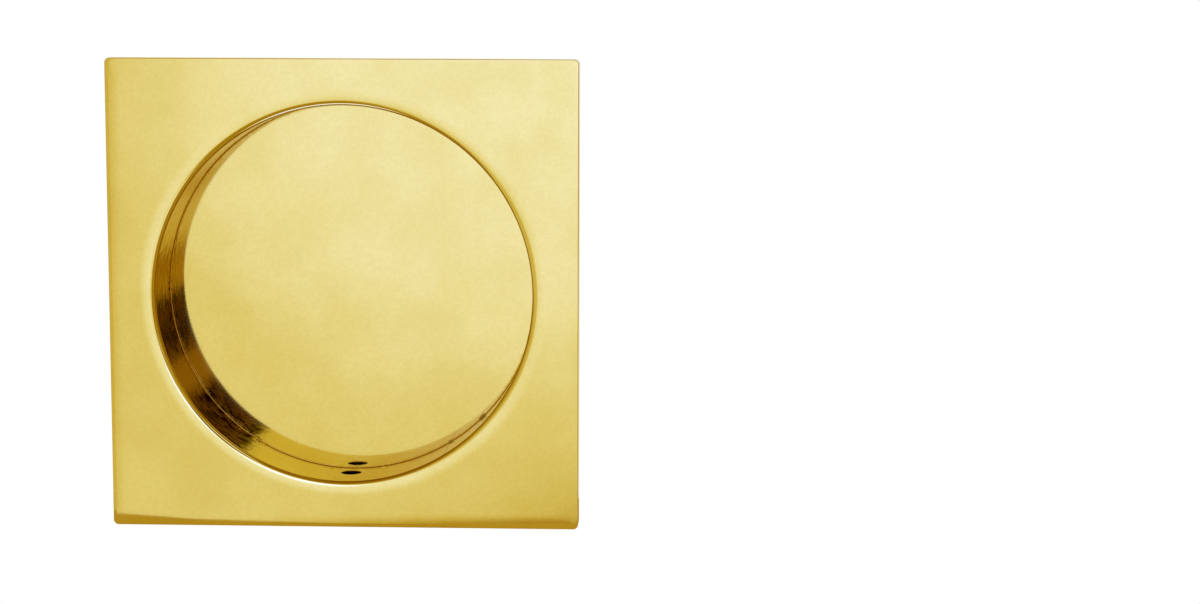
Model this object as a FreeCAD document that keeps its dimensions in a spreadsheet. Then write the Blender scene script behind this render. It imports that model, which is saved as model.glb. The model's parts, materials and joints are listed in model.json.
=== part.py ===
"""Square pocket door pull with a round finger recess, one piece of solid brass.

A square plate lies on the door's surface. Behind it a shallow round cup sits in the
hole bored in the door. The finger recess is turned into both from the front, and a
hole is drilled straight across the cup, through its wall at the foot and at the head
of the recess, for the two fixing pins.

The pull stands as it is mounted on an upright door: X runs across the door, Z runs
up, and Y runs into the door. The origin is on the axis of the recess, in the plane
of the door's surface, where the back of the plate rests. Sizes are in millimetres.
"""

import FreeCAD, Part

import os

import Sketcher

# Each driving dimension: its name, its size and what it measures.
SIZES = [
    ("door_bore", 54.0, "Hole bored in the door for the cup, across"),
    ("bore_clearance", 0.3, "Gap all round between the cup and the door's hole"),
    ("cup_wall", 1.2, "Metal between the recess and the outside of the cup"),
    ("cup_lead", 0.4, "Chamfer that leads the back of the cup into the door"),
    ("recess_depth", 10.0, "Front face to the flat floor of the recess"),
    ("recess_backing", 1.5, "Metal behind the floor of the recess"),
    ("mouth_rounding", 0.65, "Rounding from the front face into the recess's wall"),
    ("floor_rounding", 0.2, "Rounding from the recess's wall into its floor"),
    ("plate_overlap", 4.75, "Plate past the door's hole, at the middle of a side"),
    ("plate_thickness", 3.0, "Door's surface to the front face"),
    ("corner_rounding", 0.7, "Rounding of the plate's four corners"),
    ("edge_rounding", 0.3, "Rounding round the plate's front face"),
    ("plate_back_edge", 0.2, "Chamfer round the back of the plate"),
    ("fixing_hole", 2.7, "Holes for the fixing pins, across"),
    ("fixing_hole_height", 3.4, "Middle of a fixing hole above the recess's floor"),
]

# What follows from the driving dimensions. A place is a distance along Y.
PLATE_SIDE = "(sizes.door_bore + 2 * sizes.plate_overlap)"
CUP_RADIUS = "(sizes.door_bore / 2 - sizes.bore_clearance)"
RECESS_RADIUS = f"({CUP_RADIUS} - sizes.cup_wall)"
FACE_PLACE = "(-sizes.plate_thickness)"
FLOOR_PLACE = "(sizes.recess_depth - sizes.plate_thickness)"
CUP_DEPTH = f"({FLOOR_PLACE} + sizes.recess_backing)"
FIXING_HOLE_PLACE = f"({FLOOR_PLACE} - sizes.fixing_hole_height)"

# The ends of a line or an arc, its centre, and a sketch's own Y axis and origin.
START, END, CENTRE = 1, 2, 3
Y_AXIS = -2
ORIGIN = (-1, 1)

NEAR = 1e-4


def add_sheet(doc):
    """The sheet of driving dimensions, one row for each."""
    sheet = doc.addObject("Spreadsheet::Sheet", "sizes")
    for row, (name, size, meaning) in enumerate(SIZES, start=1):
        sheet.set(f"A{row}", name)
        sheet.set(f"B{row}", str(size))
        sheet.set(f"C{row}", meaning)
        sheet.setAlias(f"B{row}", name)
    doc.recompute()


def add_sketch(body, name, role):
    """An empty sketch on one of the body's own origin planes."""
    sketch = body.newObject("Sketcher::SketchObject", name)
    plane = next(item for item in body.Origin.OriginFeatures if item.Role == role)
    sketch.AttachmentSupport = [(plane, "")]
    sketch.MapMode = "FlatFace"
    return sketch


def dimension(sketch, name, formula, kind, *places):
    """A dimension between places in a sketch, which follows the sheet by a formula."""
    size = sketch.evalExpression(formula)
    index = sketch.addConstraint(Sketcher.Constraint(kind, *places, size))
    sketch.renameConstraint(index, name)
    sketch.setExpression(f"Constraints.{name}", formula)


def constrain(sketch, kind, *places):
    """A rule that fixes no size, such as Horizontal or Tangent."""
    sketch.addConstraint(Sketcher.Constraint(kind, *places))


def add_line(sketch, start, end):
    """A straight line between two points of the sketch's plane."""
    points = FreeCAD.Vector(*start, 0), FreeCAD.Vector(*end, 0)
    return sketch.addGeometry(Part.LineSegment(*points))


def add_arc(sketch, start, middle, end):
    """An arc through three points of the sketch's plane."""
    points = [FreeCAD.Vector(*point, 0) for point in (start, middle, end)]
    return sketch.addGeometry(Part.Arc(*points))


def join(sketch, lines):
    """Joins the lines end to start, and the last one to the first."""
    for line, following in zip(lines, lines[1:] + lines[:1]):
        constrain(sketch, "Coincident", line, END, following, START)


def edges_where(feature, test):
    """The names of the feature's edges that pass the test."""
    edges = enumerate(feature.Shape.Edges, start=1)
    return [f"Edge{number}" for number, edge in edges if test(edge)]


def on_door(edge):
    """Whether the edge lies in the plane of the door's surface."""
    return lies_at(edge, 0)


def lies_at(edge, place):
    """Whether the whole edge lies at one place along Y."""
    box = edge.BoundBox
    return max(abs(box.YMin - place), abs(box.YMax - place)) < NEAR


def add_plate(body):
    """The square plate, from the door's surface forward."""
    sketch = add_sketch(body, "plate_outline", "XZ_Plane")
    half = sketch.evalExpression(f"{PLATE_SIDE} / 2")
    corners = [(-half, -half), (half, -half), (half, half), (-half, half)]
    lines = [add_line(sketch, *ends) for ends in zip(corners, corners[1:] + corners[:1])]
    join(sketch, lines)
    foot, right, head, left = lines
    for line in (foot, head):
        constrain(sketch, "Horizontal", line)
    for line in (right, left):
        constrain(sketch, "Vertical", line)
    constrain(sketch, "Symmetric", foot, START, head, START, *ORIGIN)
    dimension(sketch, "side", PLATE_SIDE, "DistanceX", foot, START, foot, END)
    constrain(sketch, "Equal", foot, right)
    plate = body.newObject("PartDesign::Pad", "plate")
    plate.Profile = sketch
    plate.setExpression("Length", "sizes.plate_thickness")
    body.Document.recompute()
    return plate


def round_plate(body, plate):
    """Rounds the plate's corners, then its front edge, and breaks the edge at its back."""
    front = plate.Shape.BoundBox.YMin
    corners = body.newObject("PartDesign::Fillet", "plate_corners")
    corners.Base = (plate, edges_where(plate, lambda edge: edge.BoundBox.YLength > NEAR))
    corners.setExpression("Radius", "sizes.corner_rounding")
    body.Document.recompute()
    rounding = body.newObject("PartDesign::Fillet", "plate_polish")
    rounding.Base = (corners, edges_where(corners, lambda edge: lies_at(edge, front)))
    rounding.setExpression("Radius", "sizes.edge_rounding")
    body.Document.recompute()
    chamfer = body.newObject("PartDesign::Chamfer", "plate_back_break")
    chamfer.Base = (rounding, edges_where(rounding, on_door))
    chamfer.setExpression("Size", "sizes.plate_back_edge")
    body.Document.recompute()


def turn(body, kind, name, sketch):
    """A full turn of a profile about the recess's axis, to add or to cut metal."""
    turned = body.newObject(f"PartDesign::{kind}", name)
    turned.Profile = sketch
    turned.ReferenceAxis = (sketch, ["V_Axis"])
    turned.Angle = 360
    body.Document.recompute()


def add_cup(body):
    """The outside of the cup, turned solid, with a lead chamfer at its back."""
    sketch = add_sketch(body, "cup_profile", "XY_Plane")
    radius = sketch.evalExpression(CUP_RADIUS)
    depth = sketch.evalExpression(CUP_DEPTH)
    lead = sketch.evalExpression("sizes.cup_lead")
    corners = [(0, 0), (radius, 0), (radius, depth - lead), (radius - lead, depth), (0, depth)]
    lines = [add_line(sketch, *ends) for ends in zip(corners, corners[1:] + corners[:1])]
    join(sketch, lines)
    seat, side, bevel, back, axis = lines
    for line in (seat, back):
        constrain(sketch, "Horizontal", line)
    for line in (side, axis):
        constrain(sketch, "Vertical", line)
    constrain(sketch, "Coincident", seat, START, *ORIGIN)
    dimension(sketch, "radius", CUP_RADIUS, "DistanceX", seat, START, seat, END)
    dimension(sketch, "depth", CUP_DEPTH, "DistanceY", *ORIGIN, back, END)
    dimension(sketch, "lead_along", "sizes.cup_lead", "DistanceY", bevel, START, bevel, END)
    dimension(sketch, "lead_in", "sizes.cup_lead", "DistanceX", bevel, END, bevel, START)
    turn(body, "Revolution", "cup", sketch)


def cut_recess(body):
    """The finger recess, turned with its rounded mouth and its rounded floor corner."""
    sketch = add_sketch(body, "recess_profile", "XY_Plane")
    face = sketch.evalExpression(FACE_PLACE)
    floor = sketch.evalExpression(FLOOR_PLACE)
    radius = sketch.evalExpression(RECESS_RADIUS)
    mouth_size = sketch.evalExpression("sizes.mouth_rounding")
    corner_size = sketch.evalExpression("sizes.floor_rounding")
    bulge = 1 - 0.5**0.5

    across = add_line(sketch, (0, face), (radius + mouth_size, face))
    mouth = add_arc(
        sketch,
        (radius, face + mouth_size),
        (radius + bulge * mouth_size, face + bulge * mouth_size),
        (radius + mouth_size, face),
    )
    wall = add_line(sketch, (radius, face + mouth_size), (radius, floor - corner_size))
    corner = add_arc(
        sketch,
        (radius, floor - corner_size),
        (radius - bulge * corner_size, floor - bulge * corner_size),
        (radius - corner_size, floor),
    )
    bottom = add_line(sketch, (radius - corner_size, floor), (0, floor))
    axis = add_line(sketch, (0, floor), (0, face))

    for line in (across, bottom):
        constrain(sketch, "Horizontal", line)
    for line in (wall, axis):
        constrain(sketch, "Vertical", line)
    constrain(sketch, "Tangent", across, END, mouth, END)
    constrain(sketch, "Tangent", mouth, START, wall, START)
    constrain(sketch, "Tangent", wall, END, corner, START)
    constrain(sketch, "Tangent", corner, END, bottom, START)
    constrain(sketch, "Coincident", bottom, END, axis, START)
    constrain(sketch, "Coincident", axis, END, across, START)
    constrain(sketch, "PointOnObject", axis, START, Y_AXIS)
    dimension(sketch, "forward", "sizes.plate_thickness", "DistanceY", across, START, *ORIGIN)
    dimension(sketch, "depth", "sizes.recess_depth", "DistanceY", across, START, bottom, END)
    dimension(sketch, "radius", RECESS_RADIUS, "DistanceX", *ORIGIN, wall, START)
    dimension(sketch, "mouth", "sizes.mouth_rounding", "Radius", mouth)
    dimension(sketch, "corner", "sizes.floor_rounding", "Radius", corner)
    turn(body, "Groove", "finger_recess", sketch)


def drill_fixing_holes(body):
    """One straight drilling across the cup, which opens its wall at foot and head."""
    sketch = add_sketch(body, "fixing_hole_outline", "XY_Plane")
    place = sketch.evalExpression(FIXING_HOLE_PLACE)
    radius = sketch.evalExpression("sizes.fixing_hole / 2")
    up = FreeCAD.Vector(0, 0, 1)
    hole = sketch.addGeometry(Part.Circle(FreeCAD.Vector(0, place, 0), up, radius))
    constrain(sketch, "Vertical", hole, CENTRE, *ORIGIN)
    dimension(sketch, "place", FIXING_HOLE_PLACE, "DistanceY", *ORIGIN, hole, CENTRE)
    dimension(sketch, "size", "sizes.fixing_hole", "Diameter", hole)
    drilling = body.newObject("PartDesign::Pocket", "fixing_holes")
    drilling.Profile = sketch
    drilling.SideType = "Symmetric"
    drilling.setExpression("Length", "sizes.door_bore")
    body.Document.recompute()


def make_pull_body(doc):
    """The whole pull, in the order in which it would be machined."""
    body = doc.addObject("PartDesign::Body", "pull_body")
    body.Label = "pull_body"
    plate = add_plate(body)
    round_plate(body, plate)
    add_cup(body)
    solid = body.Shape.Volume
    cut_recess(body)
    recessed = body.Shape.Volume
    drill_fixing_holes(body)
    if not solid > recessed > body.Shape.Volume:
        raise RuntimeError("the recess or the fixing holes took no metal away")
    return body


def check(doc, bodies):
    """Stops where an object failed, a sketch is loose, or a solid isn't one good solid."""
    for item in doc.Objects:
        if {"Invalid", "Error"} & set(item.State):
            raise RuntimeError(f"{item.Name} failed")
        if item.isDerivedFrom("Sketcher::SketchObject") and not item.FullyConstrained:
            raise RuntimeError(f"{item.Name} isn't fully constrained")
    for body in bodies:
        shape = body.Shape
        if shape.isNull() or not shape.isValid() or len(shape.Solids) != 1:
            raise RuntimeError(f"{body.Label} isn't one valid solid")


def main():
    doc = FreeCAD.newDocument("pocket_door_pull")
    add_sheet(doc)
    bodies = [make_pull_body(doc)]
    doc.recompute()
    check(doc, bodies)
    os.makedirs("parts", exist_ok=True)
    for body in bodies:
        body.Shape.exportStep(f"parts/{body.Label}.step")
        box = body.Shape.BoundBox
        print(f"{body.Label}: {body.Shape.Volume:.1f} mm3, {len(body.Shape.Faces)} faces, {box}")


main()
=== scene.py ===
import json
import math

import bpy
import numpy as np
from mathutils import Matrix, Vector


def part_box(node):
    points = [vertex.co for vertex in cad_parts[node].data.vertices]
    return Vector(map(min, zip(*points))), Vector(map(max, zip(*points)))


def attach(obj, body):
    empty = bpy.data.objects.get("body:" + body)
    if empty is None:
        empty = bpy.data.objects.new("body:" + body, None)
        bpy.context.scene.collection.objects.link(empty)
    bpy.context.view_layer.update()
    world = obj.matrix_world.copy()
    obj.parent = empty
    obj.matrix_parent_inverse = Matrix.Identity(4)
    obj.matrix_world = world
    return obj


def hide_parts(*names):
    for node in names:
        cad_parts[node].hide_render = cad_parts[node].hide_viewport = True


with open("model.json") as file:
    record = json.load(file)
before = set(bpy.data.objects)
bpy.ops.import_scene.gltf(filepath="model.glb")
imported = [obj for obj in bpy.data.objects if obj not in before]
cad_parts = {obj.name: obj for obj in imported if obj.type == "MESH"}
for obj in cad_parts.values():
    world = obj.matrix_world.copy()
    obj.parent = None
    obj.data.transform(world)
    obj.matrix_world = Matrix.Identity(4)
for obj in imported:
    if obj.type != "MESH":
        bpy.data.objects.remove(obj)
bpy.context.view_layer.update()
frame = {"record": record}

MM = 0.001

# What the frame says: the plate's half side, its front face, the cup's back and radius,
# the wall between the cup and the recess, and the fixing holes through that wall.
LOW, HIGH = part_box("pull_body")
MOUNTS = {mount["name"]: mount for mount in frame["record"]["mounts"]}
HALF_SIDE = HIGH.x
FACE = LOW.y
CUP_BACK = HIGH.y
SEAT = MOUNTS["cup_spigot"]["pos_m"][1]
CUP_RADIUS = MOUNTS["cup_spigot"]["dims"]["r_mm"] * MM
CUP_LEAD = CUP_BACK - MOUNTS["cup_spigot"]["dims"]["length_mm"] * MM
CUP_WALL = MOUNTS["fixing_hole_lower"]["dims"]["length_mm"] * MM
HOLE_RADIUS = MOUNTS["fixing_hole_lower"]["dims"]["r_mm"] * MM
HOLE_PLACE = MOUNTS["fixing_hole_lower"]["pos_m"][1]
RECESS_RADIUS = CUP_RADIUS - CUP_WALL

# The rest of the pull's section, as it is in the part.
RECESS_DEPTH = 10.0 * MM
RECESS_FLOOR = FACE + RECESS_DEPTH
CORNER_ROUNDING = 0.7 * MM
EDGE_ROUNDING = 0.3 * MM
BACK_EDGE = 0.2 * MM

# What hard buffing does to edges: it draws the face down a little before each rounding and
# eases the rounding into that slope, and it rounds the corners of the plate more, the further
# they are from the outline. What is left of the roundings at the mouth, at the edge and at
# the floor is tighter than in the part. The crisp share is how much of all that the edges at
# the right and at the head got.
FLOOR_ROUNDING = 0.09 * MM
MOUTH_TURN = 0.55 * MM
MOUTH_DRAW = 1.3 * MM
MOUTH_DROP = 0.04 * MM
MOUTH_EASE = 0.7 * MM
EASE_SLOPE = math.radians(9)
EASE_SIZE = 2.0 * MM
EASE_GAP = 0.22 * MM
EDGE_TURN = 0.12 * MM
EDGE_DRAW = 1.3 * MM
EDGE_DROP = 0.018 * MM
EDGE_EASE = 0.32 * MM
EDGE_SLOPE = math.radians(5)
EDGE_SIZE = 2.0 * MM
CRISP_SHARE = 0.08
CORNER_GROWTH = 1.0

# Edges broken by hand, and the root that the turning tool leaves round the cup.
HOLE_DEBURR = 0.12 * MM
BROKEN_EDGE = 0.06 * MM
CUP_ROOT = 0.15 * MM

# How finely the surfaces are divided. A window is the piece of a wall that is sewn to a
# fixing hole, and the mixes say how much of its outline the rings round the hole keep.
# Support points stand beside each rounding, to keep the flats flat.
SIDE_COLUMNS = 100
CORNER_COLUMNS = 12
WINDOW_COLUMNS = 5
WINDOW_ROWS = 8
WINDOW_HALF_HEIGHT = 1.9 * MM
FLAT_RINGS = 9
BRIDGE_RINGS = 8
HOLE_MIXES = (0.7, 0.4, 0.15)
DEBURR_RINGS = 5
ARC_STEP = math.radians(7.5)
LEAST_ARC_STEPS = 4
SUPPORT = 0.03 * MM
POLE_RADIUS = 0.6 * MM


def plan_columns():
    """Where the columns of the pull's grid stand round its axis.

    A rounded square is a smaller square with a circle carried round it, so at each column
    outline = (half side - corner radius) * core + corner radius * outward.
    Core runs along the edge of the unit square, evenly in angle as the axis sees it, and
    outward is square to the outline and turns only while core waits at a corner.
    Spoke is the direction from the axis to the plate's own outline.
    """
    straight = HALF_SIDE - CORNER_ROUNDING
    reach = math.atan2(straight, HALF_SIDE)
    across = np.tan(np.linspace(-reach, reach, SIDE_COLUMNS + 1)) / math.tan(reach)
    side_core = np.stack([np.ones_like(across), across], 1)
    side_outward = np.tile([1.0, 0.0], (len(across), 1))
    turn = np.linspace(0, math.pi / 2, CORNER_COLUMNS + 1)[1:-1]
    corner_core = np.ones((len(turn), 2))
    corner_outward = np.stack([np.cos(turn), np.sin(turn)], 1)
    core = np.concatenate([side_core, corner_core])
    outward = np.concatenate([side_outward, corner_outward])
    quarter = np.array([[0.0, 1.0], [-1.0, 0.0]])
    turns = [np.linalg.matrix_power(quarter, count) for count in range(4)]
    core = np.concatenate([core @ turned for turned in turns])
    outward = np.concatenate([outward @ turned for turned in turns])
    spoke = straight * core + CORNER_ROUNDING * outward
    spoke = spoke / np.linalg.norm(spoke, axis=1, keepdims=True)
    return core, outward, spoke


CORE, OUTWARD, SPOKE = plan_columns()
COLUMNS = len(SPOKE)


def rounded_profile(corners):
    """A section line through corners of (distance from the axis, place, rounding).

    Each corner with a rounding becomes an arc that touches both of its lines: it starts and
    ends rounding * tan(half the turn) from the corner. A support point beside each end of
    the arc keeps the lines flat up to it.
    """
    points = [np.array([corners[0][:2]])]
    for before, here, after in zip(corners, corners[1:], corners[2:]):
        point = np.array(here[:2])
        arriving = point - before[:2]
        arriving = arriving / np.linalg.norm(arriving)
        leaving = after[:2] - point
        leaving = leaving / np.linalg.norm(leaving)
        bend = math.atan2(
            arriving[0] * leaving[1] - arriving[1] * leaving[0], float(arriving @ leaving)
        )
        length = here[2] * math.tan(abs(bend) / 2)
        start, end = point - length * arriving, point + length * leaving
        inward = math.copysign(1, bend) * np.array([-arriving[1], arriving[0]])
        centre = start + here[2] * inward
        steps = max(LEAST_ARC_STEPS, math.ceil(abs(bend) / ARC_STEP))
        turn = np.linspace(0, abs(bend), steps + 1)[:, None]
        arc = centre + here[2] * (np.sin(turn) * arriving - np.cos(turn) * inward)
        points += [[start - SUPPORT * arriving], arc, [end + SUPPORT * leaving]]
    points.append(np.array([corners[-1][:2]]))
    return np.concatenate(points)


def place_rings(plan, places):
    """Rings of points: the plan gives each point's X and Z, and each ring has one Y."""
    heights = np.broadcast_to(np.asarray(places)[:, None], plan.shape[:2])
    return np.stack([plan[..., 0], heights, plan[..., 1]], -1)


def turned_rings(profile):
    """Each point of the profile carried round the axis in a circle."""
    return place_rings(profile[:, 0, None, None] * SPOKE, profile[:, 1])


def squared_rings(profile, corner_radii):
    """Each point of the profile carried round the plate in a rounded square."""
    radii = np.asarray(corner_radii)[:, None, None]
    return place_rings((profile[:, 0, None, None] - radii) * CORE + radii * OUTWARD, profile[:, 1])


def bridge_rings(first, last):
    """Rings across a flat, spaced evenly between the first outline and the last."""
    share = np.linspace(0, 1, BRIDGE_RINGS + 2)[1:-1, None, None]
    return (1 - share) * first + share * last


def wall_band(radius, from_place, to_place):
    """The rings of a round wall past the fixing holes, evenly spaced in Y."""
    places = np.linspace(from_place, to_place, 2 * WINDOW_ROWS + 1)
    return turned_rings(np.stack([np.full_like(places, radius), places], 1))


def edge_section(share):
    """The rings of the plate's edge, its front drawn down by a share of what buffing did."""
    slope = 2 * share * EDGE_DROP / EDGE_DRAW
    middle = HALF_SIDE - EDGE_ROUNDING - EDGE_EASE - EDGE_DRAW / 2
    ease = HALF_SIDE - EDGE_ROUNDING - EDGE_EASE / 2
    ease_place = FACE + slope * (ease - middle)
    turn_place = ease_place + math.tan(share * EDGE_SLOPE) * (HALF_SIDE - ease)
    edge = rounded_profile(
        [
            (middle - 0.8 * EDGE_DRAW, FACE),
            (middle, FACE, EDGE_DRAW / slope),
            (ease, ease_place, EDGE_SIZE),
            (HALF_SIDE, turn_place, EDGE_TURN),
            (HALF_SIDE, SEAT - BACK_EDGE, BROKEN_EDGE),
            (HALF_SIDE - BACK_EDGE, SEAT, BROKEN_EDGE),
            (HALF_SIDE - 3 * BACK_EDGE, SEAT),
        ]
    )
    inset = HALF_SIDE - edge[:, 0]
    front = edge[:, 1] < SEAT - 2 * BACK_EDGE
    past_edge = np.where(front, np.maximum(inset - EDGE_ROUNDING, 0), 0)
    return squared_rings(edge, CORNER_ROUNDING - inset + (1 + CORNER_GROWTH) * past_edge)


def mouth_section(wall_end):
    """The section of the recess's mouth, from the end of its wall over to the flat face."""
    slope = 2 * MOUTH_DROP / MOUTH_DRAW
    middle = RECESS_RADIUS + MOUTH_EASE + EASE_GAP + MOUTH_DRAW / 2
    ease_place = FACE + slope * (middle - RECESS_RADIUS - MOUTH_EASE)
    turn_place = ease_place + math.tan(EASE_SLOPE) * MOUTH_EASE
    return rounded_profile(
        [
            (RECESS_RADIUS, wall_end),
            (RECESS_RADIUS, turn_place, MOUTH_TURN),
            (RECESS_RADIUS + MOUTH_EASE, ease_place, EASE_SIZE),
            (middle, FACE, MOUTH_DRAW / slope),
            (middle + MOUTH_DRAW, FACE),
        ]
    )


def flat_disc(from_radius, to_radius, place):
    """The rings of a flat disc, evenly spaced from one radius to the other."""
    radii = np.linspace(from_radius, to_radius, FLAT_RINGS)
    return turned_rings(np.stack([radii, np.full_like(radii, place)], 1))


def pull_rings():
    """The whole surface of the pull as rings, from the middle of the recess's floor, up its
    wall, over the face and the plate's edge, round the cup and in to the middle of its back.

    Returns the rings and the first ring of each band that the fixing holes are cut in.
    """
    gap = SUPPORT * 3
    window = (HOLE_PLACE + WINDOW_HALF_HEIGHT, HOLE_PLACE - WINDOW_HALF_HEIGHT)
    corner = rounded_profile(
        [
            (RECESS_RADIUS - 2 * FLOOR_ROUNDING, RECESS_FLOOR),
            (RECESS_RADIUS, RECESS_FLOOR, FLOOR_ROUNDING),
            (RECESS_RADIUS, window[0] + gap),
        ]
    )
    root = rounded_profile(
        [
            (CUP_RADIUS + 4 * CUP_ROOT, SEAT),
            (CUP_RADIUS, SEAT, CUP_ROOT),
            (CUP_RADIUS, window[1] - gap),
        ]
    )
    back = rounded_profile(
        [
            (CUP_RADIUS, window[0] + gap),
            (CUP_RADIUS, CUP_BACK - CUP_LEAD, BROKEN_EDGE),
            (CUP_RADIUS - CUP_LEAD, CUP_BACK, BROKEN_EDGE),
            (CUP_RADIUS - 3 * CUP_LEAD, CUP_BACK),
        ]
    )
    # The buffing wheel drew the left and the lower edge down, and left the others crisp.
    drawn = np.clip(0.5 - 0.5 * OUTWARD.sum(axis=1), 0, 1)[None, :, None]
    edge_rings = drawn * edge_section(1.0) + (1 - drawn) * edge_section(CRISP_SHARE)
    mouth_rings = turned_rings(mouth_section(window[1] - gap))
    root_rings = turned_rings(root)
    parts = [
        flat_disc(POLE_RADIUS, RECESS_RADIUS - 4 * FLOOR_ROUNDING, RECESS_FLOOR),
        turned_rings(corner),
        wall_band(RECESS_RADIUS, *window),
        mouth_rings,
        bridge_rings(mouth_rings[-1], edge_rings[0]),
        edge_rings,
        bridge_rings(edge_rings[-1], root_rings[0]),
        root_rings,
        wall_band(CUP_RADIUS, *reversed(window)),
        turned_rings(back),
        flat_disc(CUP_RADIUS - 5 * CUP_LEAD, POLE_RADIUS, CUP_BACK),
    ]
    starts = np.cumsum([0] + [len(part) for part in parts])
    return np.concatenate(parts), starts[2], starts[8]


def window_loop(rows, first_column):
    """The grid points round a window, along its first column and back along its last."""
    columns = first_column + np.arange(2 * WINDOW_COLUMNS + 1)
    down = rows * COLUMNS + columns[0]
    over = rows[-1] * COLUMNS + columns
    up = rows[::-1] * COLUMNS + columns[-1]
    home = rows[0] * COLUMNS + columns[::-1]
    return np.concatenate([down[:-1], over[:-1], up[:-1], home[:-1]])


def hole_rings(inner, outer, side):
    """Rings of one fixing hole, from its window in the recess's wall to that in the cup's.

    Seen along the hole, each ring is a circle round its middle, mixed in both walls with the
    window's own outline. A ring on a wall stands at the square root of radius squared less
    X squared from the axis. The edges are deburred by a quarter circle, and between them the
    hole runs straight.
    """
    around = np.arctan2(inner[:, 1] - HOLE_PLACE, inner[:, 0])
    circle = np.stack([np.cos(around), np.sin(around)], 1)

    def on_wall(plan, radius, depth):
        """Points of (X, Y) set on a round wall, or that deep behind it."""
        reach = np.sqrt(radius**2 - plan[:, 0] ** 2) + depth
        return np.stack([plan[:, 0], plan[:, 1], side * reach], 1)

    def wall_rings(window, radius):
        """The rings in a wall, from its window in to the rim of the hole."""
        rim = HOLE_RADIUS + HOLE_DEBURR
        edge = circle * rim + [0, HOLE_PLACE]
        mixes = [*HOLE_MIXES, SUPPORT / rim]
        return [on_wall((1 - mix) * edge + mix * window[:, :2], radius, 0) for mix in mixes]

    def deburred(radius, outward):
        """The rings of the quarter circle from the wall into the hole."""
        rings = []
        for turn in np.linspace(0, math.pi / 2, DEBURR_RINGS):
            size = HOLE_RADIUS + HOLE_DEBURR * (1 - math.sin(turn))
            depth = HOLE_DEBURR * (1 - math.cos(turn)) * outward
            rings.append(on_wall(circle * size + [0, HOLE_PLACE], radius, depth))
        return rings

    straight = on_wall(circle * HOLE_RADIUS + [0, HOLE_PLACE], RECESS_RADIUS, CUP_WALL / 2)
    inner_side = wall_rings(inner, RECESS_RADIUS) + deburred(RECESS_RADIUS, 1)
    outer_side = wall_rings(outer, CUP_RADIUS) + deburred(CUP_RADIUS, -1)
    return np.array(inner_side + [straight] + outer_side[::-1])


def pull_mesh():
    """Points and faces of the pull: the grid of rings, closed at both poles, with a window
    left out of each wall where a fixing hole passes, and the hole's rings sewn into both."""
    rings, inner_row, outer_row = pull_rings()
    rows = len(rings)
    points = [rings.reshape(-1, 3)]
    grid = np.arange(rows * COLUMNS).reshape(rows, COLUMNS)
    after = np.roll(grid, -1, axis=1)
    quads = np.stack([grid[:-1], grid[1:], after[1:], after[:-1]], -1)
    open_cell = np.zeros(quads.shape[:2], bool)
    total = rows * COLUMNS

    sewn = []
    steps = np.arange(2 * WINDOW_ROWS + 1)
    side_middle = SIDE_COLUMNS // 2
    for quarter, side in ((1, 1), (3, -1)):
        first = quarter * (SIDE_COLUMNS + CORNER_COLUMNS) + side_middle - WINDOW_COLUMNS
        for row in (inner_row, outer_row):
            cells = slice(row, row + 2 * WINDOW_ROWS), slice(first, first + 2 * WINDOW_COLUMNS)
            open_cell[cells] = True
        # The cup's rings run the other way along Y, so its loop starts at its far row.
        inner = window_loop(inner_row + steps, first)
        outer = window_loop(outer_row + steps[::-1], first)
        hole = hole_rings(points[0][inner], points[0][outer], side)
        count = len(inner)
        numbers = total + np.arange(hole.shape[0] * count).reshape(-1, count)
        total += numbers.size
        points.append(hole.reshape(-1, 3))
        loops = np.concatenate([inner[None], numbers, outer[None]])
        ahead = np.roll(loops, -1, axis=1)
        sewn.append(np.stack([loops[:-1], ahead[:-1], ahead[1:], loops[1:]], -1).reshape(-1, 4))

    poles = np.array([[0, RECESS_FLOOR, 0], [0, CUP_BACK, 0]])
    points.append(poles)
    floor_pole = np.full(COLUMNS, total)
    back_pole = np.full(COLUMNS, total + 1)
    fans = [
        np.stack([floor_pole, grid[0], after[0]], 1),
        np.stack([back_pole, after[-1], grid[-1]], 1),
    ]
    quads = np.concatenate([quads[~open_cell], *sewn])
    return np.concatenate(points), quads, np.concatenate(fans)


def add_object(name, points, faces, material):
    """A smooth-shaded mesh object from points and lists of faces, unused points left out."""
    used, numbered = np.unique(np.concatenate([f.ravel() for f in faces]), return_inverse=True)
    sizes = np.concatenate([np.full(len(f), f.shape[1]) for f in faces])
    mesh = bpy.data.meshes.new(name)
    mesh.vertices.add(len(used))
    mesh.vertices.foreach_set("co", points[used].astype(np.float32).ravel())
    mesh.loops.add(len(numbered))
    mesh.loops.foreach_set("vertex_index", numbered.astype(np.int32))
    mesh.polygons.add(len(sizes))
    mesh.polygons.foreach_set("loop_start", np.cumsum(sizes) - sizes)
    mesh.polygons.foreach_set("loop_total", sizes)
    mesh.update(calc_edges=True)
    mesh.validate()
    mesh.shade_smooth()
    mesh.materials.append(material)
    piece = bpy.data.objects.new(name, mesh)
    bpy.context.scene.collection.objects.link(piece)
    return piece


def linear(hex_colour):
    """An sRGB hex colour as linear red, green, blue and full alpha."""
    parts = [int(hex_colour[place : place + 2], 16) / 255 for place in (1, 3, 5)]
    return (*[p / 12.92 if p <= 0.04045 else ((p + 0.055) / 1.055) ** 2.4 for p in parts], 1.0)


def add_node(tree, kind, inputs=(), give=0, **settings):
    """Adds a node with its settings and returns one of its outcomes, or all if give is None.

    Its inputs come in their own order or by name. Each is a value, or the outcome of another
    node, which is linked.
    """
    node = tree.nodes.new("ShaderNode" + kind)
    for name, setting in settings.items():
        setattr(node, name, setting)
    sockets = inputs if isinstance(inputs, dict) else dict(enumerate(inputs))
    for socket, source in sockets.items():
        if isinstance(source, bpy.types.NodeSocket):
            tree.links.new(source, node.inputs[socket])
        else:
            node.inputs[socket].default_value = source
    return node.outputs if give is None else node.outputs[give]


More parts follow.
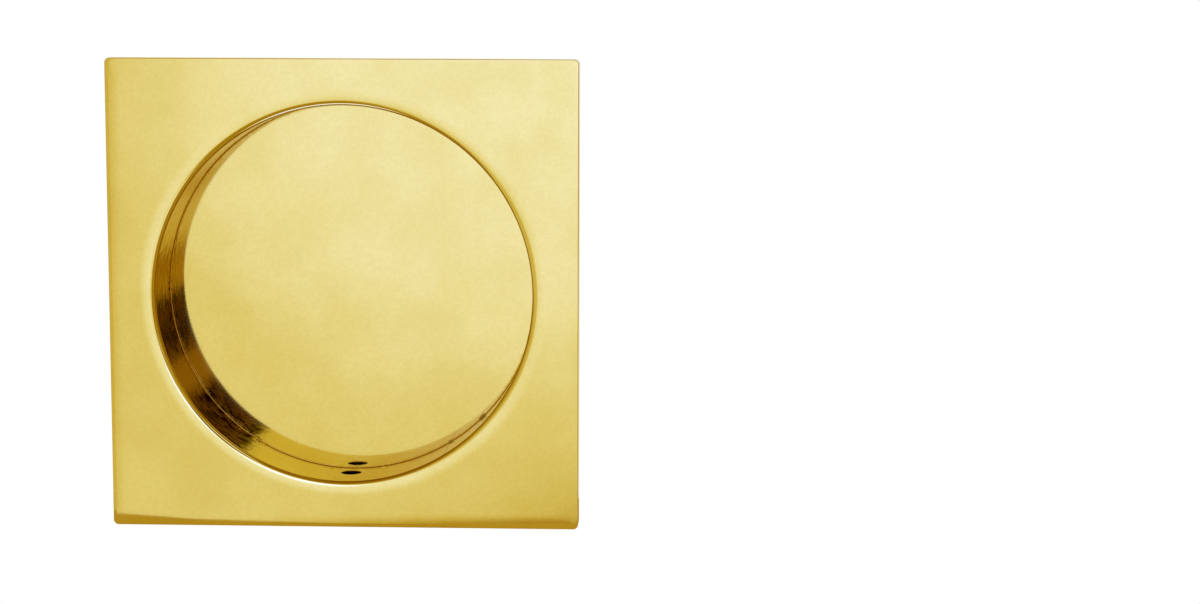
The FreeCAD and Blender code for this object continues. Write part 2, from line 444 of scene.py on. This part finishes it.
def empty_material(name):
    """A material and its tree, with no node in it yet."""
    material = bpy.data.materials.new(name)
    material.use_nodes = True
    material.node_tree.nodes.clear()
    return material, material.node_tree


# The pull's finish. Clouds of haze are 9 mm across and the buffing wheel's waves 5 mm. The
# metal's grain is drawn at 0.45 mm, the finest that the picture shows.
HAZE_SIZE = 9 * MM
WAVE_SIZE = 5 * MM
WAVE_DEPTH = 0.006 * MM
GRAIN_SIZE = 0.45 * MM
CHATTER_SIZE = 1.0 * MM
CHATTER_DEPTH = 0.02 * MM
TURNING_PITCH = 0.35 * MM
TURNING_DEPTH = 0.008 * MM

# How far from the wall's own radius and from the face the wall's finish reaches, and the
# width of the corner between the wall and the floor.
WALL_REACH = 0.3 * MM
MOUTH_REACH = 0.5 * MM
CORNER_WIDTH = 0.2 * MM

# Painted dark reflection in clumps, where the wall mirrors the tent's dark shapes: its stretches
# round the wall, each with its middle and half its width in degrees and its share. Darker
# streaks down the wall: angle, half width and share.
PAINTED_REFLECTION_SIZE = 1.5 * MM
PAINTED_REFLECTION_EDGE = 0.15 * MM
PAINTED_REFLECTION_FADE = 2 * MM
PAINTED_REFLECTION_STRETCHES = [(192.5, 9, 0.45), (225.5, 11, 0.75)]
DARK_STREAKS = [(314.7, 0.8 * MM, 0.7), (302.0, 0.35 * MM, 0.5)]


def far_from_line(tree, across, along):
    """The distance from a line: the square root of across squared plus along squared."""
    squared = add_node(tree, "Math", [across, across], operation="MULTIPLY")
    squared = add_node(tree, "Math", [along, along, squared], operation="MULTIPLY_ADD")
    return add_node(tree, "Math", [squared], operation="SQRT")


def outward_along(tree, place, angle):
    """How far a point lies from the axis in the direction at an angle round it."""
    way = (math.cos(math.radians(angle)), 0, math.sin(math.radians(angle)))
    return add_node(tree, "VectorMath", [place, way], "Value", operation="DOT_PRODUCT")


def wall_zones(tree, y, from_axis):
    """Where the recess's wall and the corner at its foot lie, 1 inside them and 0 outside."""
    off_wall = add_node(tree, "Math", [from_axis, RECESS_RADIUS], operation="SUBTRACT")
    off_wall = add_node(tree, "Math", [off_wall], operation="ABSOLUTE")
    near = add_node(tree, "Math", [off_wall, WALL_REACH], operation="LESS_THAN")
    below_mouth = add_node(tree, "Math", [y, FACE + MOUTH_REACH], operation="GREATER_THAN")
    wall = add_node(tree, "Math", [near, below_mouth], operation="MULTIPLY")
    near = add_node(tree, "Math", [off_wall, CORNER_WIDTH], operation="LESS_THAN")
    at_floor = add_node(tree, "Math", [y, RECESS_FLOOR - CORNER_WIDTH], operation="GREATER_THAN")
    corner = add_node(tree, "Math", [near, at_floor], operation="MULTIPLY")
    return wall, corner


def back_zones(tree, x, y, from_axis):
    """Where the turned back and the fixing holes lie, 1 inside them and 0 outside.

    The back is all that is behind the door's surface and outside the recess. A hole is within
    its own radius of the line that both holes lie on.
    """
    behind = add_node(tree, "Math", [y, SEAT - BROKEN_EDGE], operation="GREATER_THAN")
    beside = add_node(tree, "Math", [from_axis, RECESS_RADIUS + CUP_WALL / 2], operation="GREATER_THAN")
    below = add_node(tree, "Math", [y, RECESS_FLOOR + CUP_WALL / 2], operation="GREATER_THAN")
    outside = add_node(tree, "Math", [beside, below], operation="MAXIMUM")
    turned = add_node(tree, "Math", [behind, outside], operation="MULTIPLY")
    off_line = add_node(tree, "Math", [y, HOLE_PLACE], operation="SUBTRACT")
    from_line = far_from_line(tree, x, off_line)
    holes_dull_and_shaded = add_node(tree, "Math", [from_line, HOLE_RADIUS + 0.02 * MM], operation="LESS_THAN")
    return turned, holes_dull_and_shaded


def painted_dark_reflection_share(tree, place, y, wall, corner):
    """Painted dark reflection in clumps on two stretches of the wall, where it mirrors the
    tent's dark shapes, thickest near the floor but not in the corner."""
    inputs = {"Vector": place, "Scale": 1 / PAINTED_REFLECTION_SIZE, "Detail": 5.0}
    clumps = add_node(tree, "TexNoise", inputs)
    clumps = add_node(tree, "MapRange", [clumps, 0.40, 0.62], interpolation_type="SMOOTHSTEP")
    reach = 0.0
    for angle, half_width, share in PAINTED_REFLECTION_STRETCHES:
        edge = RECESS_RADIUS * math.cos(math.radians(half_width))
        outward = outward_along(tree, place, angle)
        inputs = [outward, edge - PAINTED_REFLECTION_EDGE, edge + PAINTED_REFLECTION_EDGE, 0.0, share]
        stretch = add_node(tree, "MapRange", inputs, interpolation_type="SMOOTHSTEP")
        reach = add_node(tree, "Math", [reach, stretch], operation="MAXIMUM")
    inputs = [y, FACE + MOUTH_REACH, RECESS_FLOOR - PAINTED_REFLECTION_FADE, 0.5, 1.0]
    depth = add_node(tree, "MapRange", inputs, interpolation_type="SMOOTHSTEP")
    kept = add_node(tree, "Math", [wall, corner], operation="SUBTRACT")
    kept = add_node(tree, "Math", [kept, depth], operation="MULTIPLY", use_clamp=True)
    kept = add_node(tree, "Math", [kept, reach], operation="MULTIPLY")
    return add_node(tree, "Math", [kept, clumps], operation="MULTIPLY")


def dark_streak_share(tree, place, wall, angle, half_width, share):
    """A darker streak down the wall, at an angle round it."""
    beside = add_node(tree, "Math", [outward_along(tree, place, angle + 90)], operation="ABSOLUTE")
    inputs = [beside, 0.4 * half_width, half_width, share, 0.0]
    near = add_node(tree, "MapRange", inputs, interpolation_type="SMOOTHSTEP")
    outward = add_node(tree, "Math", [outward_along(tree, place, angle), 0.0], operation="GREATER_THAN")
    near = add_node(tree, "Math", [near, outward], operation="MULTIPLY")
    return add_node(tree, "Math", [near, wall], operation="MULTIPLY")


def brass_relief(tree, place, y, from_axis, wall, turned):
    """The surface's small heights as a normal: the buffing wheel's waves, chatter where the
    wall was bored and is less easily buffed, and the turning tool's rings behind."""
    waves = add_node(tree, "TexNoise", {"Vector": place, "Scale": 1 / WAVE_SIZE, "Detail": 1.0})
    chatter = add_node(tree, "TexNoise", {"Vector": place, "Scale": 1 / CHATTER_SIZE, "Detail": 1.0})
    chatter = add_node(tree, "Math", [chatter, wall], operation="MULTIPLY")
    rings = add_node(tree, "Math", [from_axis, y], operation="ADD")
    rings = add_node(tree, "Math", [rings, 2 * math.pi / TURNING_PITCH], operation="MULTIPLY")
    rings = add_node(tree, "Math", [rings], operation="SINE")
    rings = add_node(tree, "Math", [rings, turned], operation="MULTIPLY")
    inputs = {"Strength": 1.0, "Distance": WAVE_DEPTH, "Height": waves}
    normal = add_node(tree, "Bump", inputs)
    for height, depth in ((chatter, CHATTER_DEPTH), (rings, TURNING_DEPTH)):
        inputs = {"Strength": 1.0, "Distance": depth, "Height": height, "Normal": normal}
        normal = add_node(tree, "Bump", inputs)
    return normal


def polished_brass():
    """Yellow brass, turned and milled, buffed to a mirror in front and lacquered.

    The eye gets a clean mirror with a pale gold tint, a faint haze left by the buffing wheel
    and the grain of the metal under the lacquer. The wall of the recess isn't lacquered, and it
    stays gold at a glancing angle, save where a painted dark reflection lies on it in clumps.
    The back keeps the fine rings of the turning tool, and the fixing holes are bare and dull
    inside, with painted shade that makes them nearly black.
    """
    material, tree = empty_material("polished_brass")
    place = add_node(tree, "TexCoord", give="Object")
    x, y, z = add_node(tree, "SeparateXYZ", [place], give=None)
    from_axis = far_from_line(tree, x, z)
    wall, corner = wall_zones(tree, y, from_axis)
    turned, holes_dull_and_shaded = back_zones(tree, x, y, from_axis)
    painted_dark_reflection = painted_dark_reflection_share(tree, place, y, wall, corner)

    haze = add_node(tree, "TexNoise", {"Vector": place, "Scale": 1 / HAZE_SIZE, "Detail": 3.0})
    inputs = [haze, 0.3, 0.7, 0.055, 0.085]
    roughness = add_node(tree, "MapRange", inputs, interpolation_type="SMOOTHSTEP")
    haze = add_node(tree, "MapRange", [haze, 0.3, 0.7], interpolation_type="SMOOTHSTEP")
    grain = add_node(tree, "TexNoise", {"Vector": place, "Scale": 1 / GRAIN_SIZE, "Detail": 1.0})
    grain = add_node(tree, "MapRange", [grain, 0.25, 0.75, 0.0, 0.14], interpolation_type="SMOOTHSTEP")

    # The metal's tint, layer over layer. The corner at the wall's foot is tinted a deeper gold, the
    # back has a colour of its own, and the holes are painted nearly black as painted shade.
    tint = linear("#E3CF74")
    layers = [
        (haze, "#E9D783"),
        (grain, "#C9AE4C"),
        (corner, "#D2B048"),
        # Painted dark reflection: dark brown in clumps where the wall mirrors the tent's dark shapes.
        (painted_dark_reflection, "#4A3415"),
        # Two darker streaks down the wall.
        *[(dark_streak_share(tree, place, wall, *mark), "#8A6A1C") for mark in DARK_STREAKS],
        (turned, "#D9BC5E"),
        # Painted shade: the insides of the fixing holes are nearly black.
        (holes_dull_and_shaded, "#1E1508"),
    ]
    for share, colour in layers:
        inputs = {0: share, 6: tint, 7: linear(colour)}
        tint = add_node(tree, "Mix", inputs, 2, data_type="RGBA")
    # At a glancing angle the painted dark reflection stays dark too.
    inputs = {0: painted_dark_reflection, 6: linear("#DEC98A"), 7: linear("#3A2408")}
    glancing = add_node(tree, "Mix", inputs, 2, data_type="RGBA")

    for zone, least in ((turned, 0.28), (holes_dull_and_shaded, 0.75)):
        least = add_node(tree, "Math", [zone, least], operation="MULTIPLY")
        roughness = add_node(tree, "Math", [roughness, least], operation="MAXIMUM")
    inputs = {
        "Base Color": tint,
        "Metallic": 1.0,
        "Roughness": roughness,
        "Specular Tint": glancing,
        "Coat Weight": add_node(tree, "Math", [wall, -0.5, 0.5], operation="MULTIPLY_ADD"),
        "Coat Roughness": 0.04,
        "Normal": brass_relief(tree, place, y, from_axis, wall, turned),
    }
    shader = add_node(tree, "BsdfPrincipled", inputs)
    add_node(tree, "OutputMaterial", {"Surface": shader}, None)
    return material


def make_pull():
    """The pull itself, which stands for the plain solid."""
    points, quads, fans = pull_mesh()
    pull = add_object("polished_pull", points, [quads, fans], polished_brass())
    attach(pull, "root")
    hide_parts("pull_body")
    return pull


# The studio: a round tent of light that the metal mirrors, a pale floor below the pull and
# soft lamps. Directions in the tent are degrees right of the pull's axis and up from it.
TENT_RADIUS = 1.5
TENT_COLUMNS = 96
TENT_RINGS = 48
FLOOR_DROP = 0.12
FLOOR_REACH = 0.30
PAPER_GRAIN = 0.6 * MM

# The cloth is warmer where it is dimmer: its red is the brightness to the power of 0.2, its
# green to the power of 0.33, and its blue the brightness itself.
CLOTH_RED = 0.2
CLOTH_GREEN = 0.33
# Brightness of the dim card under the plate: painted shade, standing for the shadowed floor there as the
# metal mirrors it.
SHADE_CARD_BRIGHTNESS = 0.05

# The dark shapes' mottle, as seen from the pull: about 1.3 degrees.
MOTTLE_SIZE = 0.022


def direction(right, up):
    """The unit vector that many degrees right of and above the pull's own axis."""
    right, up = math.radians(right), math.radians(up)
    return (math.sin(right) * math.cos(up), -math.cos(right) * math.cos(up), math.sin(up))


def tent_cloth():
    """Cloth with soft windows in front of the pull, a dim side at its left and a dark top.

    One brightness is found for each direction, zone over zone, and coloured. Dark shapes
    stand in front of the cloth, right of the windows, mottled brown and black.
    """
    material, tree = empty_material("tent_cloth")
    place = add_node(tree, "TexCoord", give="Object")
    aim = add_node(tree, "VectorMath", [place], operation="NORMALIZE")

    def side(way, start, end):
        """How far a direction leans one way, from 0 at the start to 1 at the end."""
        lean = add_node(tree, "VectorMath", [aim, way], "Value", operation="DOT_PRODUCT")
        return add_node(tree, "MapRange", [lean, start, end], interpolation_type="SMOOTHSTEP")

    def patch(right, up, size, soft):
        """How far a direction lies in a round patch of the tent, 1 inside it."""
        outer, inner = math.cos(math.radians(size + soft)), math.cos(math.radians(size - soft))
        return side(direction(right, up), outer, inner)

    # Behind the pull the cloth is brighter at the right and higher up, from 0.32 to 1.
    behind = add_node(tree, "Math", [side((0.5, 0, 0.8), -0.75, 0.75), 0.68, 0.32], operation="MULTIPLY_ADD")
    light = 0.68
    zones = [
        # The cloth above the axis, at the right and far right, at the left and far left.
        (side((0, 0, 1), 0.0, 0.12), 0.38),
        (side((1, 0, 0), 0.0, 0.2), 0.45),
        (side((1, 0, 0), 0.3, 0.5), 0.05),
        (side((-1, 0, 0), 0.235, 0.34), 0.25),
        (side((-1, 0, 0), 0.75, 0.97), 0.2),
        # The dim upper left and the dark top.
        (side((-0.5, 0, 0.87), 0.28, 0.42), 0.06),
        (side((0, 0, 1), 0.35, 0.75), 0.006),
        # Two windows at the right and three, one over the other, in front.
        (patch(34, -6.5, 11, 4), 1.1),
        (patch(40, 42, 9, 4), 1.1),
        (patch(-7.5, 8, 6.5, 3), 1.3),
        (patch(-0.5, 13.5, 6, 1.5), 2.3),
        (patch(-4.2, -0.6, 5.6, 5.6), 1.75),
        # The lamps in them, which the rounded mouth mirrors as a bright line.
        (patch(-4.3, 6.2, 4.4, 1.2), 4.5),
        (patch(3.2, 0.8, 3.0, 1.2), 4.5),
        # The dark cloth below, with a window low in front and one underfoot.
        (side((0.5, 0, -1), 0.16, 0.25), 0.022),
        (patch(4, -12, 3.4, 1.2), 1.2),
        (patch(-8, -72, 17, 6), 3.5),
        (side((0, 1, 0), 0.0, 0.5), behind),
    ]
    for share, level in zones:
        change = add_node(tree, "Math", [level, light], operation="SUBTRACT")
        light = add_node(tree, "Math", [change, share, light], operation="MULTIPLY_ADD")
    red = add_node(tree, "Math", [light, CLOTH_RED], operation="POWER")
    green = add_node(tree, "Math", [light, CLOTH_GREEN], operation="POWER")
    colour = add_node(tree, "CombineColor", [red, green, light])

    mottle = add_node(tree, "TexNoise", {"Vector": aim, "Scale": 1 / MOTTLE_SIZE, "Detail": 2.0})
    mottle = add_node(tree, "MapRange", [mottle, 0.42, 0.52], interpolation_type="SMOOTHSTEP")
    inputs = {0: mottle, 6: linear("#8E6230"), 7: linear("#1E130D")}
    dark = add_node(tree, "Mix", inputs, 2, data_type="RGBA")
    shapes = [
        (patch(14.8, 0.5, 7.2, 3.0), linear("#AE8E4C")),
        (patch(14.2, -2.4, 4.3, 0.8), dark),
        (patch(10.5, 11.5, 5.8, 0.5), dark),
        (patch(16.5, 20.0, 8.0, 0.5), dark),
    ]
    for share, shape in shapes:
        colour = add_node(tree, "Mix", {0: share, 6: colour, 7: shape}, 2, data_type="RGBA")
    glow = add_node(tree, "Emission", {"Color": colour, "Strength": 1.0})
    add_node(tree, "OutputMaterial", {"Surface": glow}, None)
    return material


def tent_mesh():
    """A sphere round the pull, from angles round it and up it, closed at both poles."""
    around = np.linspace(0, 2 * math.pi, TENT_COLUMNS + 1)[:-1]
    up = np.linspace(-math.pi / 2, math.pi / 2, TENT_RINGS + 1)[1:-1, None]
    x, y, z = np.cos(up) * np.cos(around), np.cos(up) * np.sin(around), np.sin(up)
    ball = np.stack([x, y, np.broadcast_to(z, x.shape)], -1).reshape(-1, 3) * TENT_RADIUS
    grid = np.arange(len(ball)).reshape(x.shape)
    after = np.roll(grid, -1, axis=1)
    quads = np.stack([grid[:-1], grid[1:], after[1:], after[:-1]], -1).reshape(-1, 4)
    poles = np.array([[0, 0, -TENT_RADIUS], [0, 0, TENT_RADIUS]])
    foot, head = np.full(len(around), len(ball)), np.full(len(around), len(ball) + 1)
    fans = [np.stack([foot, grid[0], after[0]], 1), np.stack([head, after[-1], grid[-1]], 1)]
    return np.concatenate([ball, poles]), quads, np.concatenate(fans)


def only_mirrored(thing):
    """Shows a thing in reflections alone."""
    thing.visible_camera = False
    thing.visible_diffuse = False
    thing.visible_transmission = False
    thing.visible_volume_scatter = False
    thing.visible_shadow = False


def floor_paper():
    """Matt white paper with a faint grain, which fades out before its edge."""
    material, tree = empty_material("floor_paper")
    place = add_node(tree, "TexCoord", give="Object")
    middle = (0, 0, LOW.z - FLOOR_DROP)
    away = add_node(tree, "VectorMath", [place, middle], "Value", operation="DISTANCE")
    grain = add_node(tree, "TexNoise", {"Vector": place, "Scale": 1 / PAPER_GRAIN, "Detail": 1.0})
    inputs = {0: grain, 6: linear("#FBFBFA"), 7: linear("#FFFFFF")}
    tint = add_node(tree, "Mix", inputs, 2, data_type="RGBA")
    paper = add_node(tree, "BsdfDiffuse", {"Color": tint})
    clear = add_node(tree, "BsdfTransparent")
    inputs = [away, 0.6 * FLOOR_REACH, FLOOR_REACH]
    fade = add_node(tree, "MapRange", inputs, interpolation_type="SMOOTHSTEP")
    mixed = add_node(tree, "MixShader", [fade, paper, clear])
    add_node(tree, "OutputMaterial", {"Surface": mixed}, None)
    return material


def card_stock():
    """Painted shade: a dim warm card for the shadowed floor under the plate, coloured as cloth of its
    brightness is.
    """
    material, tree = empty_material("card_stock")
    red, green = SHADE_CARD_BRIGHTNESS**CLOTH_RED, SHADE_CARD_BRIGHTNESS**CLOTH_GREEN
    inputs = {"Color": (red, green, SHADE_CARD_BRIGHTNESS, 1.0), "Strength": 1.0}
    glow = add_node(tree, "Emission", inputs)
    add_node(tree, "OutputMaterial", {"Surface": glow}, None)
    return material


def level_sheet(name, corners, height, material):
    """A level sheet with the given corners of (X, Y), in order round it."""
    points = np.column_stack([corners, np.full(len(corners), height)])
    return add_object(name, points, [np.arange(len(corners))[None]], material)


# The painted shade card's outline, in millimetres: its front edge from left to right, and its back.
SHADE_CARD_FRONT = [(-60, -30), (-36, -21), (-24, -16), (0, -13.5), (20, -14.5), (60, -18)]
SHADE_CARD_BACK = [(60, 30), (-60, 30)]
SHADE_CARD_DROP = 2.5 * MM


def make_stage():
    """The tent, the floor, and a dim card of painted shade close under the plate that only the metal sees.
    """
    points, quads, fans = tent_mesh()
    tent = add_object("light_tent", points, [quads, fans], tent_cloth())
    only_mirrored(tent)
    corners = np.array(SHADE_CARD_FRONT + SHADE_CARD_BACK) * MM
    card = level_sheet("dim_card", corners, LOW.z - SHADE_CARD_DROP, card_stock())
    only_mirrored(card)
    corners = np.array([(-1, -1), (1, -1), (1, 1), (-1, 1)]) * FLOOR_REACH
    floor = level_sheet("floor", corners, LOW.z - FLOOR_DROP, floor_paper())
    floor.visible_glossy = False


def add_lamp(name, right, up, distance, size, power):
    """A square soft lamp, aimed at the pull."""
    lamp = bpy.data.lights.new(name, "AREA")
    lamp.size = size
    lamp.energy = power
    holder = bpy.data.objects.new(name, lamp)
    away = Vector(direction(right, up))
    holder.location = away * distance
    holder.rotation_euler = away.to_track_quat("Z", "Y").to_euler()
    holder.visible_glossy = False
    bpy.context.scene.collection.objects.link(holder)


def light_stage():
    """Two soft lamps, and a world that is white to the eye and in the metal."""
    add_lamp("overhead_softbox", right=10, up=65, distance=1.1, size=0.9, power=9.0)
    add_lamp("right_softbox", right=60, up=25, distance=1.1, size=0.6, power=3.0)
    world = bpy.data.worlds.new("studio")
    bpy.context.scene.world = world
    world.use_nodes = True
    tree = world.node_tree
    tree.nodes.clear()
    soft = add_node(tree, "Background", {"Color": linear("#F4F5F7"), "Strength": 0.75})
    white = add_node(tree, "Background", {"Color": linear("#FFFFFF"), "Strength": 1.0})
    rays = add_node(tree, "LightPath", give=None)
    seen = rays["Is Camera Ray"]
    for name in ("Is Glossy Ray", "Is Transmission Ray"):
        seen = add_node(tree, "Math", [seen, rays[name]], operation="MAXIMUM")
    mixed = add_node(tree, "MixShader", [seen, soft, white])
    add_node(tree, "OutputWorld", {"Surface": mixed}, None)


# The camera stands right of the pull and above it, and looks past it to the right. Its lens
# gives the frame of 1200 by 604 points a width of 36 mm.
CAMERA_PLACE = Vector((46.86, -331.73, 40.74)) * MM
CAMERA_TILT = math.radians(7.160)
CAMERA_TURN = math.radians(2.132)
CAMERA_ROLL = math.radians(0.206)
CAMERA_LENS = 74.19


def add_camera():
    """The camera, level and looking along Y until it is rolled, tilted down and turned."""
    camera = bpy.data.objects.new("camera", bpy.data.cameras.new("camera"))
    camera.data.lens = CAMERA_LENS
    camera.data.sensor_width = 36
    camera.data.clip_start = 0.01
    turn = Matrix.Rotation(CAMERA_TURN, 4, "Z")
    tilt = Matrix.Rotation(math.pi / 2 - CAMERA_TILT, 4, "X")
    roll = Matrix.Rotation(CAMERA_ROLL, 4, "Z")
    camera.matrix_world = Matrix.Translation(CAMERA_PLACE) @ turn @ tilt @ roll
    bpy.context.scene.collection.objects.link(camera)
    bpy.context.scene.camera = camera


make_pull()
make_stage()
light_stage()
add_camera()
bpy.context.scene.view_settings.view_transform = "Standard"
